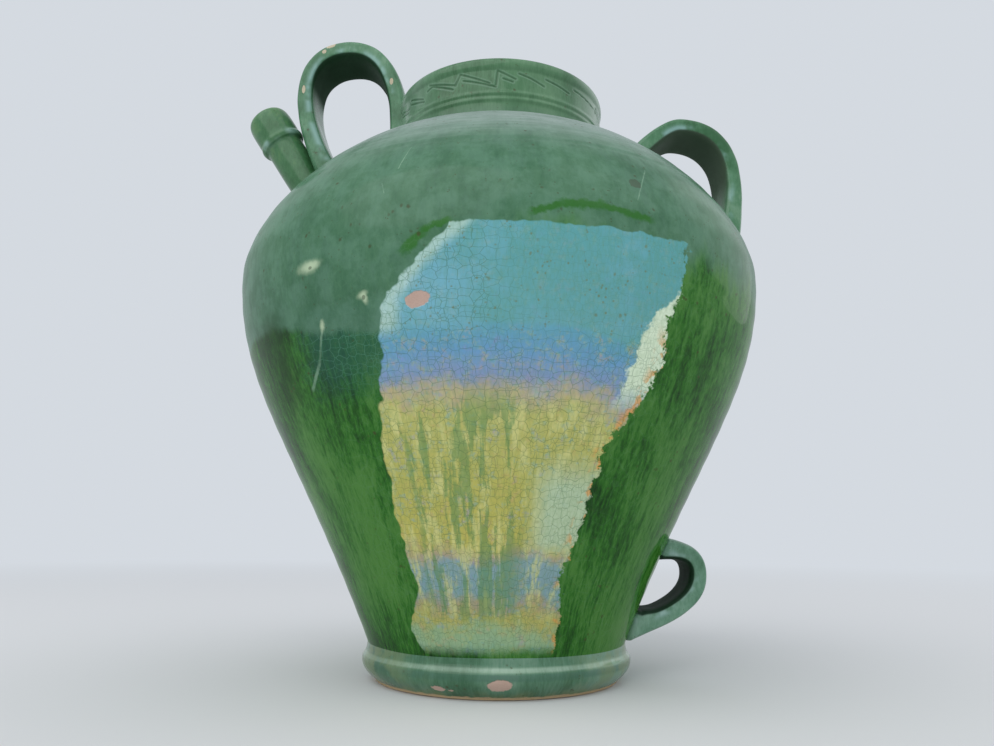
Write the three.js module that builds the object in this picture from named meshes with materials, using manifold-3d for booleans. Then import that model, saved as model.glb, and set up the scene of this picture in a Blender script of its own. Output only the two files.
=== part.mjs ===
// A glazed terracotta oil jar: a thrown ovoid body on a moulded foot, a short neck, a pouring
// spout and three pulled strap handles. Millimetres, +Z up, origin at the centre of the base.
import * as THREE from "three";
import { mergeVertices } from "three/addons/utils/BufferGeometryUtils.js";
import Module from "manifold-3d";

const wasm = await Module();
wasm.setup();

// Driving dimensions. Angles are in degrees. A pull is how far a curve keeps the direction it
// has at one of its ends: the longer the pull, the fuller the curve on that side.
const seam = 0.3; // slip joint left between two luted pieces
const roundSides = 56; // round the jar
const tubeSides = 24; // round the spout
const outsideSteps = 12; // of each of the two curves of the body's outside
const insideSteps = [8, 9]; // of the lower and the upper curve of its inside
const measuringSteps = 120; // of each curve where radii and heights are looked up
const quarter = 0.55; // pull of a quarter circle, as a share of its radius

const body = {
  baseRadius: 86,
  stepHeight: 24, // underside of the step that sits on the foot moulding
  stepOut: 9, // of the step's edge from the base's wall
  waistOut: 11.5, // of the waist from the base's wall
  waistRise: 4, // of the waist above the step
  taperAngle: 67.4,
  taperPull: 145,
  bellyRadius: 203,
  bellyHeight: 293,
  bellyPulls: [78, 36], // down and up
  crownHeight: 413, // seat of the neck
  crownAngle: -18,
  crownPull: 68,
  wall: 9,
  floor: 13,
  cornerRadius: 16, // inside corner between floor and wall
};

const neck = {
  radius: 84.5,
  wall: 8.5,
  height: 49, // from its seat to the top of the rim
  filletRadius: 5, // sweep from the neck out onto the shoulder
  ridgeHeights: [15.2, 20.2],
  ridgeProud: 0.8,
  ridgeHalfWidth: 2.4,
  rimBand: 9,
  rimProud: 1.6,
  lipEase: 2, // how far the mouth's inner edge is worn back
};

const foot = {
  restOut: 2, // from the base's wall, like the next two
  flareOut: 14.8,
  topOut: 11,
  flareHeight: 15.5,
};

const spout = {
  azimuth: 178,
  tilt: 32, // from vertical
  rootOut: 66.5, // of its axis from the neck's wall where it leaves the shoulder
  length: 99,
  tubeRadius: 15,
  rootFlare: 4, // how much the tube widens at the shoulder
  rootFlareLength: 34,
  boreRadius: 9.5,
  ringRadius: 19.5,
  ringLength: 7,
  tipRadius: 17.5,
  tipLength: 27,
  edge: 1.5, // chamfer of the tip and of the ring's lower side
  seatDepth: 14, // how far the tube starts inside the shoulder before it is trimmed
};

// A strap's section is a superellipse that spreads towards both roots by these shares.
const strap = {
  squareness: 3.2,
  widthSpread: 0.25,
  thicknessSpread: 0.35,
  spreadPower: 6, // the higher, the closer the spread keeps to the roots
};

// Of a handle's middle line: the sinks are how far its two ends lie below the surface, and the
// angles are the bearings that it has there.
const neckHandle = {
  azimuth: 177.5,
  width: 41,
  thickness: 19.5,
  rise: 63, // above the rim
  crestOut: 45, // from the neck's wall
  neckRootOut: 1.5, // of the neck root from the neck's wall
  shoulderRootOut: 47.5, // of the shoulder root from the neck's wall
  sinks: [5, 8],
  angles: [92.2, 57.5],
  startPull: 99,
  crestPulls: [15, 46],
  endPull: 88,
};

const shoulderHandle = {
  azimuth: 2.5,
  width: 43,
  thickness: 19,
  rootOut: 16, // of the upper root from the neck's wall
  rise: 42, // above the crown
  crestIn: 33, // of the crest from the lower root towards the axis
  lowerRootHeight: 336,
  sinks: [9, 3],
  angles: [57, 74],
  startPull: 22,
  crestPulls: [13, 49],
  endPull: 58,
};

const tippingHandle = {
  azimuth: 1.5,
  width: 39,
  thickness: 18.5,
  upperRootHeight: 94.5,
  lowerRootHeight: 37.5,
  reach: 24.5, // of the loop's middle line beyond the body at the upper root
  drop: 16.5, // of the loop's outermost point below the upper root
  sinks: [13, 3],
  angles: [9, 19],
  startPull: 12,
  crestPulls: [19, 14],
  endPull: 45,
};

const rimHeight = body.crownHeight + neck.height;
const crownRadius = neck.radius + neck.filletRadius;
const mouthRadius = neck.radius - neck.wall;
const spoutRootRadius = neck.radius + spout.rootOut;
const spoutEnd = spout.seatDepth + spout.length;

const degrees = THREE.MathUtils.degToRad;
const point = (radius, height) => new THREE.Vector2(radius, height);

function bearing(angle, length) {
  return point(Math.cos(degrees(angle)), Math.sin(degrees(angle))).multiplyScalar(length);
}

// A curve between two points that leaves the first and the last along given pulls.
function bend(from, fromPull, to, toPull) {
  return new THREE.CubicBezierCurve(from, from.clone().add(fromPull), to.clone().add(toPull), to);
}

// The outside of the body, from the waist to the crown, as points.
function bodyOutline(stepsLow, stepsHigh) {
  const waist = point(body.baseRadius + body.waistOut, body.stepHeight + body.waistRise);
  const belly = point(body.bellyRadius, body.bellyHeight);
  const crown = point(crownRadius, body.crownHeight);
  const [pullDown, pullUp] = body.bellyPulls;
  const low = bend(waist, bearing(body.taperAngle, body.taperPull), belly, point(0, -pullDown));
  const high = bend(belly, point(0, pullUp), crown, bearing(body.crownAngle, body.crownPull));
  return [...low.getPoints(stepsLow), ...high.getPoints(stepsHigh).slice(1)];
}

// The same outline moved outwards by a distance, or inwards by a negative one.
function offsetOutline(outline, distance) {
  return outline.map((p, i) => {
    const before = outline[Math.max(i - 1, 0)];
    const after = outline[Math.min(i + 1, outline.length - 1)];
    const along = after.clone().sub(before).normalize();
    return point(p.x + along.y * distance, p.y - along.x * distance);
  });
}

const outline = bodyOutline(outsideSteps, outsideSteps);
const fineOutline = bodyOutline(measuringSteps, measuringSteps);

// The radius of the body's outside at a height, and its height at a radius on the shoulder.
function radiusAtHeight(height) {
  const i = fineOutline.findIndex((p) => p.y >= height);
  const [a, b] = [fineOutline[i - 1], fineOutline[i]];
  return THREE.MathUtils.mapLinear(height, a.y, b.y, a.x, b.x);
}

function shoulderHeightAt(radius) {
  const i = fineOutline.findLastIndex((p) => p.x >= radius);
  const [a, b] = [fineOutline[i], fineOutline[i + 1]];
  return THREE.MathUtils.mapLinear(radius, a.x, b.x, a.y, b.y);
}

function turned(profile, sides = roundSides) {
  return new THREE.LatheGeometry(profile, sides).rotateX(Math.PI / 2);
}

function toSolid(geometry) {
  const bare = geometry.clone();
  bare.deleteAttribute("normal");
  bare.deleteAttribute("uv");
  const merged = mergeVertices(bare, 1e-4);
  const vertProperties = merged.attributes.position.array;
  const triVerts = new Uint32Array(merged.index.array);
  return new wasm.Manifold(new wasm.Mesh({ numProp: 3, vertProperties, triVerts }));
}

function toGeometry(solid) {
  const mesh = solid.getMesh();
  const geometry = new THREE.BufferGeometry();
  geometry.setAttribute("position", new THREE.BufferAttribute(mesh.vertProperties, 3));
  geometry.setIndex(new THREE.BufferAttribute(mesh.triVerts, 1));
  geometry.computeVertexNormals();
  return geometry;
}

function bodyGeometry() {
  const { baseRadius, stepHeight, stepOut, crownHeight, floor, cornerRadius } = body;
  const inside = offsetOutline(bodyOutline(...insideSteps), -body.wall)
    .filter((p) => p.y > floor + cornerRadius && p.x > mouthRadius)
    .reverse();
  const wallFoot = inside[inside.length - 1];
  const floorEdge = point(wallFoot.x - cornerRadius, floor);
  const round = cornerRadius * quarter;
  const corner = bend(wallFoot, point(0, -round), floorEdge, point(round, 0));
  const profile = [
    point(0, 0),
    point(baseRadius, 0),
    point(baseRadius, stepHeight),
    point(baseRadius + stepOut, stepHeight),
    ...outline,
    point(mouthRadius, crownHeight),
    point(mouthRadius, inside[0].y),
    ...inside,
    ...corner.getPoints(4).slice(1),
    point(0, floor),
  ];
  return toGeometry(toSolid(turned(profile)).subtract(toSolid(spoutBore())));
}

function neckOutline() {
  const { radius, height, filletRadius: fillet, rimProud, rimBand } = neck;
  const { ridgeHeights, ridgeProud, ridgeHalfWidth } = neck;
  const [under, level] = [-Math.PI / 2, -Math.PI];
  const sweep = new THREE.EllipseCurve(radius + fillet, fillet, fillet, fillet, under, level, true);
  const ridges = ridgeHeights.flatMap((h) => [
    point(radius, h - ridgeHalfWidth),
    point(radius + ridgeProud, h),
    point(radius, h + ridgeHalfWidth),
  ]);
  const band = rimBand / 2;
  const roll = new THREE.EllipseCurve(radius, height - band, rimProud, band, -Math.PI / 3, Math.PI / 2);
  return [...sweep.getPoints(3), ...ridges, point(radius, height - rimBand), ...roll.getPoints(4)];
}

function neckGeometry() {
  const { height, rimBand, lipEase } = neck;
  const outside = neckOutline();
  const lip = [point(mouthRadius + lipEase, height), point(mouthRadius, height - rimBand / 2)];
  return turned([...outside, ...lip, point(mouthRadius, 0), outside[0]]);
}

function footGeometry() {
  const inner = body.baseRadius + seam;
  const top = body.stepHeight - seam;
  const rest = point(body.baseRadius + foot.restOut, 0);
  const flare = point(body.baseRadius + foot.flareOut, foot.flareHeight);
  const shoulder = point(body.baseRadius + foot.topOut, top);
  const underPulls = [(flare.x - rest.x) * quarter, -flare.y * quarter];
  const overPulls = [(top - flare.y) * quarter, (flare.x - shoulder.x) * quarter];
  const under = bend(rest, point(underPulls[0], 0), flare, point(0, underPulls[1]));
  const over = bend(flare, point(0, overPulls[0]), shoulder, point(overPulls[1], 0));
  const outside = [...under.getPoints(5), ...over.getPoints(3).slice(1)];
  return turned([point(inner, 0), ...outside, point(inner, top), point(inner, 0)]);
}

// The spout is turned along its own axis, then tilted and set on the shoulder.
function ontoShoulder(geometry) {
  return geometry
    .translate(0, 0, -spout.seatDepth)
    .rotateY(degrees(spout.tilt))
    .translate(spoutRootRadius, 0, shoulderHeightAt(spoutRootRadius))
    .rotateZ(degrees(spout.azimuth));
}

function spoutProfile(grow) {
  const { tubeRadius, rootFlare, rootFlareLength, ringRadius, ringLength } = spout;
  const { tipRadius, tipLength, edge } = spout;
  const ringTop = spoutEnd - tipLength;
  const ringBottom = ringTop - ringLength;
  const ease = point(0, rootFlareLength * 0.4);
  const flared = point(tubeRadius + rootFlare, 0);
  const root = bend(flared, ease, point(tubeRadius, rootFlareLength), ease.clone().negate());
  return [
    ...root.getPoints(4),
    point(tubeRadius, ringBottom),
    point(ringRadius - edge, ringBottom + edge),
    point(ringRadius, ringBottom + ringLength / 2),
    point(tipRadius, ringTop),
    point(tipRadius, spoutEnd - edge),
    point(tipRadius - edge, spoutEnd),
  ].map((p) => point(p.x + grow, p.y));
}

function spoutBore() {
  const into = -spout.seatDepth * 2;
  const { boreRadius } = spout;
  const profile = [point(0, into), point(boreRadius, into), point(boreRadius, spoutEnd), point(0, spoutEnd)];
  return ontoShoulder(turned(profile, tubeSides));
}

function spoutGeometry() {
  const outside = spoutProfile(0);
  const inside = [point(spout.boreRadius, spoutEnd), point(spout.boreRadius, 0)];
  const tube = turned([...outside, ...inside, outside[0]], tubeSides);
  return toGeometry(toSolid(ontoShoulder(tube)).subtract(jarKeepOut()));
}

// What the luted pieces must stay clear of: the outside of body and neck, grown by the seam.
function jarKeepOut() {
  const shell = offsetOutline(outline, seam);
  const column = neckOutline().map((p) => point(p.x + seam, p.y + body.crownHeight + seam));
  const profile = [point(0, 0), point(shell[0].x, 0), ...shell, ...column, point(0, rimHeight + seam)];
  return toSolid(turned(profile));
}

function spoutKeepOut() {
  return toSolid(ontoShoulder(turned([point(0, 0), ...spoutProfile(seam), point(0, spoutEnd)], tubeSides)));
}

// A point of the strap's section at an angle round it, in halves of its width and thickness.
function sectionPoint(angle) {
  const power = 2 / strap.squareness;
  const [c, s] = [Math.cos(angle), Math.sin(angle)];
  return [Math.sign(c) * Math.abs(c) ** power, Math.sign(s) * Math.abs(s) ** power];
}

// The vertices of one section, across the middle line at a share of the strap's length.
function strapSection(curve, t, share, sides, { width, thickness }) {
  const at = curve.getPointAt(t);
  const along = curve.getTangentAt(t);
  const nearRoot = Math.abs(2 * share - 1) ** strap.spreadPower;
  const halfWidth = (width / 2) * (1 + strap.widthSpread * nearRoot);
  const halfThickness = (thickness / 2) * (1 + strap.thicknessSpread * nearRoot);
  return Array.from({ length: sides }, (_, k) => {
    const [u, v] = sectionPoint((k / sides) * 2 * Math.PI);
    const out = v * halfThickness;
    return [at.x - along.y * out, u * halfWidth, at.y + along.x * out];
  });
}

// A strap is swept along two curves that meet at its crest, and its ends are capped flat.
function strapGeometry(curves, handle) {
  const stepsPerCurve = 14;
  const sides = 16;
  const sections = stepsPerCurve * curves.length;
  const positions = [];
  for (let i = 0; i <= sections; i += 1) {
    const n = Math.min(Math.floor(i / stepsPerCurve), curves.length - 1);
    positions.push(...strapSection(curves[n], i / stepsPerCurve - n, i / sections, sides, handle));
  }
  const index = [];
  for (let i = 0; i < sections; i += 1) {
    for (let k = 0; k < sides; k += 1) {
      const [a, b] = [i * sides + k, i * sides + ((k + 1) % sides)];
      index.push(a, b, a + sides, b, b + sides, a + sides);
    }
  }
  const last = sections * sides;
  for (let k = 1; k < sides - 1; k += 1) {
    index.push(0, k + 1, k, last, last + k, last + k + 1);
  }
  const geometry = new THREE.BufferGeometry();
  geometry.setAttribute("position", new THREE.Float32BufferAttribute(positions.flat(), 3));
  geometry.setIndex(index);
  return geometry;
}

// What is left of a strap outside the pieces that it is luted to.
function lutedStrap(curves, handle, ...keepOuts) {
  const whole = toSolid(strapGeometry(curves, handle).rotateZ(degrees(handle.azimuth)));
  const trimmed = keepOuts.reduce((solid, keepOut) => solid.subtract(keepOut), whole);
  const [largest] = trimmed.decompose().sort((a, b) => b.volume() - a.volume());
  return toGeometry(largest);
}

// The middle line of a handle: over a level crest, or round an upright outermost point.
function overCrest(start, crest, end, { angles, startPull, crestPulls, endPull }) {
  const rising = bend(start, bearing(angles[0], startPull), crest, point(-crestPulls[0], 0));
  const falling = bend(crest, point(crestPulls[1], 0), end, bearing(angles[1], endPull));
  return [rising, falling];
}

function roundOutermost(start, outermost, end, { angles, startPull, crestPulls, endPull }) {
  const outward = bend(start, bearing(angles[0], startPull), outermost, point(0, crestPulls[0]));
  const inward = bend(outermost, point(0, -crestPulls[1]), end, bearing(angles[1], endPull));
  return [outward, inward];
}

function inShoulder(radius, sink) {
  return point(radius, shoulderHeightAt(radius) - sink);
}

function inSide(height, sink) {
  return point(radiusAtHeight(height) - sink, height);
}

function neckHandleGeometry() {
  const { thickness, rise, crestOut, neckRootOut, shoulderRootOut, sinks } = neckHandle;
  const start = point(neck.radius + neckRootOut, body.crownHeight - sinks[0]);
  const crest = point(neck.radius + crestOut, rimHeight + rise - thickness / 2);
  const end = inShoulder(neck.radius + shoulderRootOut, sinks[1]);
  return lutedStrap(overCrest(start, crest, end, neckHandle), neckHandle, jarKeepOut(), spoutKeepOut());
}

function shoulderHandleGeometry() {
  const { thickness, rootOut, rise, crestIn, lowerRootHeight, sinks } = shoulderHandle;
  const start = inShoulder(neck.radius + rootOut, sinks[0]);
  const end = inSide(lowerRootHeight, sinks[1]);
  const crest = point(end.x - crestIn, body.crownHeight + rise - thickness / 2);
  return lutedStrap(overCrest(start, crest, end, shoulderHandle), shoulderHandle, jarKeepOut());
}

function tippingHandleGeometry() {
  const { upperRootHeight, lowerRootHeight, reach, drop, sinks } = tippingHandle;
  const start = inSide(upperRootHeight, sinks[0]);
  const outermost = point(radiusAtHeight(upperRootHeight) + reach, upperRootHeight - drop);
  const end = inSide(lowerRootHeight, sinks[1]);
  return lutedStrap(roundOutermost(start, outermost, end, tippingHandle), tippingHandle, jarKeepOut());
}

function glaze(colour, roughness) {
  return new THREE.MeshStandardMaterial({ color: colour, roughness, metalness: 0 });
}

function piece(name, geometry, material, height = 0) {
  const mesh = new THREE.Mesh(geometry, material);
  mesh.name = name;
  mesh.position.z = height;
  return mesh;
}

const jar = new THREE.Group();
jar.add(
  piece("jar_body", bodyGeometry(), glaze(0x2c6a34, 0.18)),
  piece("neck_collar", neckGeometry(), glaze(0x3c7747, 0.22), body.crownHeight + seam),
  piece("foot_moulding", footGeometry(), glaze(0x35663a, 0.25)),
  piece("pouring_spout", spoutGeometry(), glaze(0x47804c, 0.2)),
  piece("neck_handle", neckHandleGeometry(), glaze(0x4a8752, 0.2)),
  piece("shoulder_handle", shoulderHandleGeometry(), glaze(0x336d43, 0.2)),
  piece("tipping_handle", tippingHandleGeometry(), glaze(0x2f6d3c, 0.2)),
);

export default jar;
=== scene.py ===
import math
import random

import bpy
import numpy as np
from mathutils import Matrix, Vector
from mathutils.geometry import interpolate_bezier


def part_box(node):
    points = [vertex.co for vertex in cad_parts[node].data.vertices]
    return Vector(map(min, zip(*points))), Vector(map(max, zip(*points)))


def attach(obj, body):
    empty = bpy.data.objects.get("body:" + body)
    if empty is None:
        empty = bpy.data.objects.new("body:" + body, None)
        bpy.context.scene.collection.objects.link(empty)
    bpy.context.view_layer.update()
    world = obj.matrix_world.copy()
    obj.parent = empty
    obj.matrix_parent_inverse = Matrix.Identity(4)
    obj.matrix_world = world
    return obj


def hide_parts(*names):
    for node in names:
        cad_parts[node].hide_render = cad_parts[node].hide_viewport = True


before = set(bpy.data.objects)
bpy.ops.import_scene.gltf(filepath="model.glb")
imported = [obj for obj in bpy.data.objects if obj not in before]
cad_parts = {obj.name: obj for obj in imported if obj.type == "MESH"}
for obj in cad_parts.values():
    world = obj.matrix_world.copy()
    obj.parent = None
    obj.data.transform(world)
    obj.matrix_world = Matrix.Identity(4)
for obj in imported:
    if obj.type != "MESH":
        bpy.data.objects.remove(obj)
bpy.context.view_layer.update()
print("frame loaded")

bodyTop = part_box("jar_body")[1]
bellyRadius, crownHeight = bodyTop.y, bodyTop.z
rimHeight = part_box("neck_collar")[1].z
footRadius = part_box("foot_moulding")[1].y


# outlines, as radius and height

def at(radius, height):
    return Vector((radius, height))


def bearing(angle, length):
    return at(math.cos(math.radians(angle)), math.sin(math.radians(angle))) * length


def bend(start, startPull, end, endPull, count):
    return interpolate_bezier(start, start + startPull, end + endPull, end, count)


def smooth(value):
    value = min(max(value, 0.0), 1.0)
    return value * value * (3 - 2 * value)


def bell(distance, width):
    return np.exp(-((distance / width) ** 2))


bodyForm = {
    "baseRadius": 0.086,
    "hollowUnder": 0.0012,
    "underside": (  # out from the base's edge, and height
        (-0.014, 0.0008), (-0.009, 0), (0, 0), (0, 0.024), (0.009, 0.024), (0.0106, 0.0254),
    ),
    "waist": (0.0115, 0.028),
    "taper": (67.4, 0.145),  # bearing and pull of the side above the foot
    "bellyHeight": 0.293,
    "bellyPulls": (0.078, 0.036),  # down and up
    "crownPull": (-18, 0.068),
    "crownRadius": 0.0895,
    "mouth": 0.076,
    "mouthLap": 0.0002,
    "wall": 0.009,
    "floor": 0.013,
    "floorCorner": (0.016, 0.009),  # width and pull
    "hollowFrom": 0.03,
    "ripple": 0.00022,  # throwing rings
    "rippleSpacing": 0.017,
    "lines": ((0.3478, 0.0004), (0.3535, 0.0003), (0.3645, 0.00035)),  # wheel lines: height and depth
    "lineWidth": 0.0013,
    "uneven": (0.0007, 0.12),
    "sides": 224,
}


def bodyOutline(count):
    form = bodyForm
    out, height = form["waist"]
    waist, belly = at(form["baseRadius"] + out, height), at(bellyRadius, form["bellyHeight"])
    crown = at(form["crownRadius"], crownHeight)
    down, up = form["bellyPulls"]
    low = bend(waist, bearing(*form["taper"]), belly, at(0, -down), count)
    high = bend(belly, at(0, up), crown, bearing(*form["crownPull"]), count)
    return low + high[1:]


def offsetOutline(outline, distance):
    moved = []
    for i, p in enumerate(outline):
        along = (outline[min(i + 1, len(outline) - 1)] - outline[max(i - 1, 0)]).normalized()
        moved.append(at(p.x + along.y * distance, p.y - along.x * distance))
    return moved


outlineRadii, outlineHeights = zip(*bodyOutline(240))


def radiusAt(height):
    return float(np.interp(height, outlineHeights, outlineRadii))


def shoulderAt(radius):
    top = len(outlineRadii) // 2
    return float(np.interp(-radius, [-r for r in outlineRadii[top:]], outlineHeights[top:]))


# modelling

def makeActive(piece):
    bpy.ops.object.select_all(action="DESELECT")
    piece.select_set(True)
    bpy.context.view_layer.objects.active = piece


def takeNew(name):
    bpy.context.object.name = name
    return bpy.context.object


def setMode(mode):
    bpy.ops.object.mode_set(mode=mode)


def editAll():
    setMode("EDIT")
    bpy.ops.mesh.select_all(action="SELECT")


def extrudeBy(step):
    bpy.ops.mesh.extrude_region_move(TRANSFORM_OT_translate={"value": (step.x, 0, step.y)})


def settle(piece):
    makeActive(piece)
    bpy.ops.object.transform_apply(location=True, rotation=True, scale=True)


def addModifier(piece, kind, **settings):
    makeActive(piece)
    modifier = piece.modifiers.new(kind.title(), kind)
    for name, value in settings.items():
        setattr(modifier, name, value)
    bpy.ops.object.modifier_apply(modifier=modifier.name)


def mendMesh(piece):
    makeActive(piece)
    editAll()
    bpy.ops.mesh.remove_doubles(threshold=2e-6)
    bpy.ops.mesh.normals_make_consistent(inside=False)
    setMode("OBJECT")


# one point drawn along a profile, then spun round the jar's axis
def throwOnWheel(name, profile, sides):
    bpy.ops.mesh.primitive_plane_add(size=0.001, location=(profile[0].x, 0, profile[0].y))
    piece = takeNew(name)
    settle(piece)
    editAll()
    bpy.ops.mesh.merge(type="CENTER")
    for here, there in zip(profile, profile[1:]):
        extrudeBy(there - here)
    bpy.ops.mesh.select_all(action="SELECT")
    bpy.ops.mesh.spin(steps=sides, angle=2 * math.pi, center=(0, 0, 0), axis=(0, 0, 1))
    setMode("OBJECT")
    mendMesh(piece)
    return piece


def weightGroup(piece, name, weights):
    group = piece.vertex_groups.new(name=name)
    for index, weight in weights:
        group.add([index], weight, "REPLACE")
    return group.name


def markPoints(piece, name, values):
    mark = piece.data.attributes.new(name, "FLOAT", "POINT")
    mark.data.foreach_set("value", values)


# slow unevenness of hand work, only ever inwards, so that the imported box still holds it
def unevenBy(piece, depth, size):
    lumps = bpy.data.textures.new(piece.name + "Lumps", "CLOUDS")
    lumps.noise_scale = size
    lumps.noise_depth = 1
    addModifier(piece, "DISPLACE", texture=lumps, strength=depth, mid_level=1.0, texture_coords="LOCAL")


# draws some of a piece's points to an even depth inside the jar's wall
def pressInto(piece, form, name, indices, depth):
    addModifier(
        piece, "SHRINKWRAP", target=form, wrap_method="NEAREST_SURFACEPOINT", wrap_mode="ABOVE_SURFACE",
        offset=-depth, vertex_group=weightGroup(piece, name, [(i, 1.0) for i in indices]),
    )


def finishShape(piece):
    makeActive(piece)
    bpy.ops.object.shade_smooth_by_angle(angle=math.radians(40))
    for modifier in list(piece.modifiers):
        bpy.ops.object.modifier_apply(modifier=modifier.name)


# the body

def throwingDepth(height):
    form = bodyForm
    depth = form["ripple"] * (0.5 + 0.5 * math.sin(height / form["rippleSpacing"] * 2 * math.pi))
    return depth + sum(cut * bell(height - line, form["lineWidth"]) for line, cut in form["lines"])


def throwBody():
    form = bodyForm
    base, mouth, floor = form["baseRadius"], form["mouth"], form["floor"]
    outside = [p - at(throwingDepth(p.y), 0) for p in bodyOutline(84)]
    inside = offsetOutline(bodyOutline(20), -form["wall"])
    inside = [p for p in reversed(inside) if p.x > mouth and p.y > form["hollowFrom"]]
    wallFoot = inside[-1]
    width, pull = form["floorCorner"]
    corner = bend(wallFoot, at(0, -pull), at(wallFoot.x - width, floor), at(pull, 0), 6)[1:]
    piece = throwOnWheel("thrownBody", [
        at(0, form["hollowUnder"]), *[at(base + out, height) for out, height in form["underside"]],
        *outside, at(mouth, crownHeight - form["mouthLap"]), at(mouth, inside[0].y),
        *inside, *corner, at(0, floor),
    ], form["sides"])
    unevenBy(piece, *form["uneven"])
    return piece


# the neck with its incised zigzag

neckForm = {
    "radius": 0.0845,
    "mouth": 0.076,
    "blendRadius": 0.0935,  # where the neck's foot runs out on the shoulder
    "blendSink": 0.0003,
    "blendRise": 0.006,
    "blendPulls": ((158, 0.005), 0.004),
    "ridges": (0.0155, 0.0205),  # heights above the crown
    "ridgeProud": 0.0009,
    "ridgeWidth": 0.0017,
    "rimBand": 0.009,
    "rimProud": 0.0015,
    "roll": (-62, 152, 8),  # first angle, turn and steps of the rolled rim
    "rollIn": 0.0004,
    "lip": (0.003, 0.006, 0.0045),  # pull inwards, drop and pull upwards
    "innerStep": 0.02,
    "lap": (0.006, 0.0015),
    "sides": 800,
    "rowHeight": 0.0006,
}

zigzag = {
    # the strokes cut on the front, as degrees round the neck and height
    "front": [
        ((-131.4, 0.4515), (-114.2, 0.4435)),
        ((-132.9, 0.4472), (-129.1, 0.4493), (-124.1, 0.4459), (-115.9, 0.4407)),
        ((-114.5, 0.4433), (-111.5, 0.4516), (-95.9, 0.4415)),
        ((-109.8, 0.4459), (-92.6, 0.4385)),
        ((-92.5, 0.4402), (-91.6, 0.4519), (-82.4, 0.4453)),
        ((-88.7, 0.4454), (-83.8, 0.4429)),
        ((-80.6, 0.4502), (-74.8, 0.4476), (-67.0, 0.4428)),
        ((-65.8, 0.449), (-58.9, 0.447), (-51.1, 0.4443)),
        ((-47.4, 0.4494), (-38.8, 0.4483), (-27.2, 0.4469)),
    ],
    "from": -25.0,  # the rest of the way round
    "to": 224.0,
    "teeth": 14,
    "spread": 0.22,
    "high": 0.4507,
    "low": 0.4432,
    "heightSpread": 0.0007,
    "lead": (2.2, 0.0012),  # turn and rise at the start of a tooth
    "length": 0.97,
    "secondLine": ((0.1, 0.35), (0.86, 1.04)),  # where it starts and ends, in shares of a tooth
    "spacing": 0.004,  # between the two lines of a tooth
    "closing": 0.7,
    "depth": 0.00048,
    "burr": 0.00012,
    "width": 0.00066,
    "seed": 5,
}


def zigzagStrokes():
    form, draw = zigzag, random.Random(zigzag["seed"])

    def vary():
        return draw.uniform(-1, 1)

    strokes = list(form["front"])
    gaps = [1 + vary() * form["spread"] for tooth in range(form["teeth"])]
    scale = (form["to"] - form["from"]) / sum(gaps)
    angle = form["from"]
    lead, lift = form["lead"]
    starts, ends = form["secondLine"]
    for gap in gaps:
        turn = gap * scale
        high = form["high"] + vary() * form["heightSpread"]
        low = form["low"] + vary() * form["heightSpread"]
        strokes.append(((angle, low + lift), (angle + lead, high), (angle + turn * form["length"], low)))
        second = (angle + draw.uniform(*starts) * turn, high - form["spacing"])
        end = (angle + turn * draw.uniform(*ends), low - form["spacing"] * form["closing"])
        strokes.append((second, end))
        angle += turn
    return strokes


# how far each point of the neck lies from the nearest incised stroke
def strokeDistance(angles, heights):
    nearest = np.full(len(angles), 1.0)
    metresPerDegree = math.radians(neckForm["radius"])
    for stroke in zigzagStrokes():
        for start, end in zip(stroke, stroke[1:]):
            along = np.array([(end[0] - start[0]) * metresPerDegree, end[1] - start[1]])
            offset = ((angles - start[0] + 180) % 360 - 180) * metresPerDegree
            lift = heights - start[1]
            share = np.clip((offset * along[0] + lift * along[1]) / (along @ along), 0, 1)
            nearest = np.minimum(nearest, np.hypot(offset - share * along[0], lift - share * along[1]))
    return nearest


def neckProfile():
    form = neckForm
    radius, mouth, band = form["radius"], form["mouth"], form["rimBand"]
    foot = at(form["blendRadius"], shoulderAt(form["blendRadius"]) - form["blendSink"])
    turn = at(radius, crownHeight + form["blendRise"])
    outward, upward = form["blendPulls"]
    sweep = bend(foot, bearing(*outward), turn, at(0, -upward), 8)
    rise = rimHeight - band - turn.y
    rows = int(rise / form["rowHeight"])
    side = []
    for row in range(1, rows):
        height = turn.y + rise * row / rows
        ridges = sum(bell(height - crownHeight - ridge, form["ridgeWidth"]) for ridge in form["ridges"])
        side.append(at(radius + form["ridgeProud"] * ridges, height))
    first, turned, steps = form["roll"]
    proud = form["rimProud"] + form["rollIn"]
    centre = at(radius - form["rollIn"], rimHeight - band / 2)
    roll = [
        centre + at(proud * math.cos(angle), band / 2 * math.sin(angle))
        for angle in (math.radians(first + turned * step / steps) for step in range(steps + 1))
    ]
    pullIn, drop, pullUp = form["lip"]
    lip = bend(roll[-1], at(-pullIn, 0), at(mouth, rimHeight - drop), at(0, pullUp), 7)[1:]
    lapIn, lapDown = form["lap"]
    low = crownHeight - lapDown
    inner = [at(mouth, crownHeight + form["innerStep"]), at(mouth, low), at(foot.x - lapIn, low)]
    return [*sweep, *side, *roll, *lip, *inner, foot]


def throwNeck():
    piece = throwOnWheel("neckCollar", neckProfile(), neckForm["sides"])
    x, y, heights = np.array([v.co for v in piece.data.vertices]).T
    distance = strokeDistance(np.degrees(np.arctan2(y, x)), heights)
    distance[np.hypot(x, y) < neckForm["radius"] - 0.002] = 1.0  # not on the inner wall
    width, depth = zigzag["width"], zigzag["depth"]
    groove = bell(distance, width)
    burr = bell(distance - 2.1 * width, 0.8 * width)
    push = burr * zigzag["burr"] / depth - groove
    weights = np.where(abs(push) > 0.01, 0.5 + 0.5 * push, 0.5)
    group = weightGroup(piece, "strokes", enumerate(weights.tolist()))
    addModifier(piece, "DISPLACE", strength=2 * depth, mid_level=0.0, vertex_group=group, direction="NORMAL")
    markPoints(piece, "stroke", groove.tolist())
    markPoints(piece, "burr", burr.tolist())
    return piece


# the foot

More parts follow.
